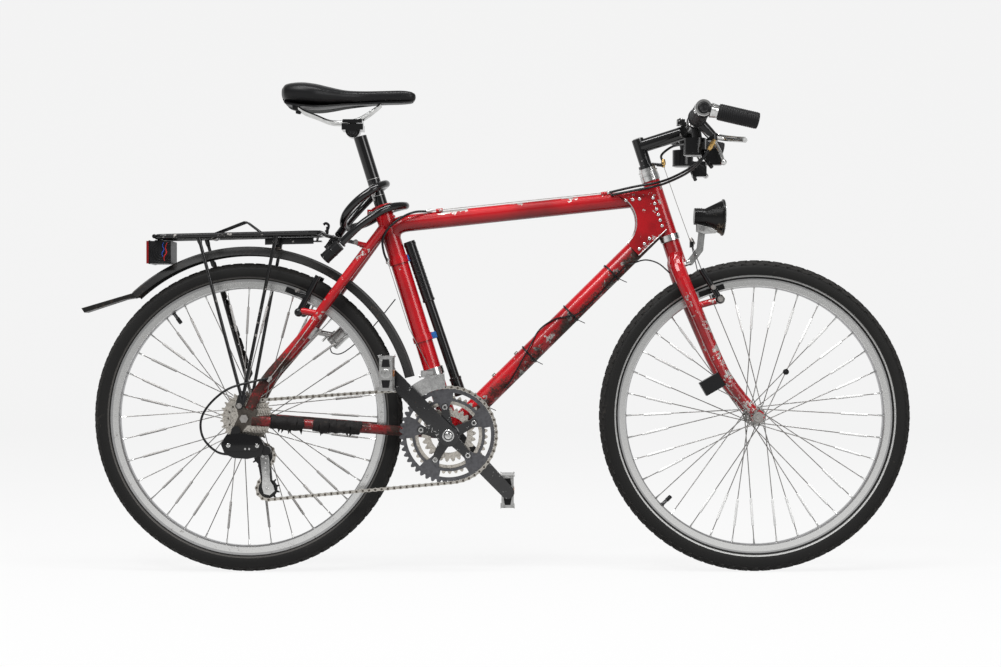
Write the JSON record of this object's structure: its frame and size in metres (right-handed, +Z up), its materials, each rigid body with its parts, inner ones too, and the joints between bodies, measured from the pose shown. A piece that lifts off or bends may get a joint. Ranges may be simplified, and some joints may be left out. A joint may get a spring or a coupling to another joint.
{
  "type": "weathered touring bicycle",
  "caption": "Worn red touring bicycle with flat bar, rear rack, mudguard, lamps, pump and coiled lock; wheels, cranks, pedals and steering turn.",
  "frame": {"origin": "the middle of the saddle's top, where the rider sits", "axes": "+X forward, +Y to the rider's left, +Z up"},
  "size_m": [1.7011, 0.617, 1.003],
  "materials": {
    "red_paint": "chipped gloss red over bare aluminium, grimy below",
    "black_paint": "worn satin black",
    "post_black": "gloss black, rubbed bright low down",
    "bare_alloy": "dull, scratched",
    "rim_alloy": "worn grey with bright brake tracks",
    "steel": "dull steel with light rust",
    "chain_steel": "oily, dirty steel",
    "ring_black": "dark grey, teeth worn bright",
    "tyre": "dusty black rubber",
    "saddle_cover": "smooth black",
    "rubber": "matt black",
    "black_plastic": "matt black, dusty",
    "black_metal": "black, dirty",
    "cable_black": "black plastic sleeve",
    "red_lens": "clear red"
  },
  "bodies": {
    "frame": {"head_tube": "red_paint", "top_tube": "red_paint", "down_tube": "red_paint", "seat_tube": "red_paint", "bracket_shell": "red_paint", "chain_stays": "red_paint", "seat_stays": "red_paint", "rear_dropouts": "bare_alloy", "head_gussets": "red_paint", "headset_cups": "bare_alloy", "seat_collar": "red_paint", "seat_post": "post_black", "saddle": "saddle_cover", "saddle_rails": "steel", "rear_axle": "steel", "rear_brake": "black_metal", "rear_derailleur": "black_metal", "front_derailleur": "bare_alloy", "chain": "chain_steel", "stay_wrap": "rubber", "mudguard": "black_plastic", "rack_deck": "black_paint", "rack_legs": "black_paint", "tail_lamp": "black_plastic", "tail_lens": "red_lens", "pump": "black_plastic", "pump_clips": "black_paint", "lock_cable": "cable_black", "lock_barrel": "black_paint", "dynamo": "black_plastic", "control_cables": "cable_black", "lamp_wire": "cable_black"},
    "steering": {"fork": "red_paint", "front_axle": "steel", "headset_nuts": "bare_alloy", "stem": "black_paint", "handlebar": "black_paint", "grips": "rubber", "bar_ends": "rubber", "brake_levers": "bare_alloy", "shifters": "black_plastic", "front_brake": "black_metal", "front_brake_cable": "cable_black", "headlamp": "black_plastic", "lamp_bracket": "bare_alloy", "wheel_sensor": "black_plastic"},
    "rack_clip": {"rack_clip": "steel"},
    "front_wheel": {"front_tyre": "tyre", "front_rim": "rim_alloy", "front_spokes": "steel", "front_hub": "bare_alloy"},
    "rear_wheel": {"rear_tyre": "tyre", "rear_rim": "rim_alloy", "rear_spokes": "steel", "rear_hub": "bare_alloy"},
    "cassette": {"cassette": "steel"},
    "cranks": {"chainrings": "ring_black", "cranks": "bare_alloy"},
    "right_pedal": {"pedal_right": "bare_alloy"},
    "left_pedal": {"pedal_left": "bare_alloy"}
  },
  "joints": [
    {"name": "steering", "type": "hinge", "parent": "frame", "child": "steering", "pos_m": [0.66753, 0, -0.30871], "axis": [-0.309, 0, 0.9511], "range_deg": [-70, 70], "deforming": ["control_cables", "lamp_wire"]},
    {"name": "front_wheel_spin", "type": "hinge", "parent": "steering", "child": "front_wheel", "pos_m": [0.84, 0, -0.668], "axis": [0, 1, 0], "continuous": true},
    {"name": "rear_wheel_spin", "type": "hinge", "parent": "frame", "child": "rear_wheel", "pos_m": [-0.2, 0, -0.671], "axis": [0, 1, 0], "continuous": true},
    {"name": "crank_spin", "type": "hinge", "parent": "frame", "child": "cranks", "pos_m": [0.212, 0, -0.705], "axis": [0, 1, 0], "continuous": true},
    {"name": "cassette_spin", "type": "hinge", "parent": "frame", "child": "cassette", "pos_m": [-0.2, 0, -0.671], "axis": [0, 1, 0], "continuous": true},
    {"name": "right_pedal_spin", "type": "hinge", "parent": "cranks", "child": "right_pedal", "pos_m": [0.09154, 0, -0.57806], "axis": [0, 1, 0], "continuous": true},
    {"name": "left_pedal_spin", "type": "hinge", "parent": "cranks", "child": "left_pedal", "pos_m": [0.33246, 0, -0.83194], "axis": [0, 1, 0], "continuous": true},
    {"name": "rack_clip_hinge", "type": "hinge", "parent": "frame", "child": "rack_clip", "pos_m": [-0.27, 0, -0.30023], "axis": [0, 1, 0], "range_deg": [-80, 0], "stiffness_Nm_per_rad": 0.2, "springref_deg": 28.65}
  ],
  "couplings": [
    {"joint": "cassette_spin", "follows": "crank_spin", "ratio": 2.8235}
  ]
}
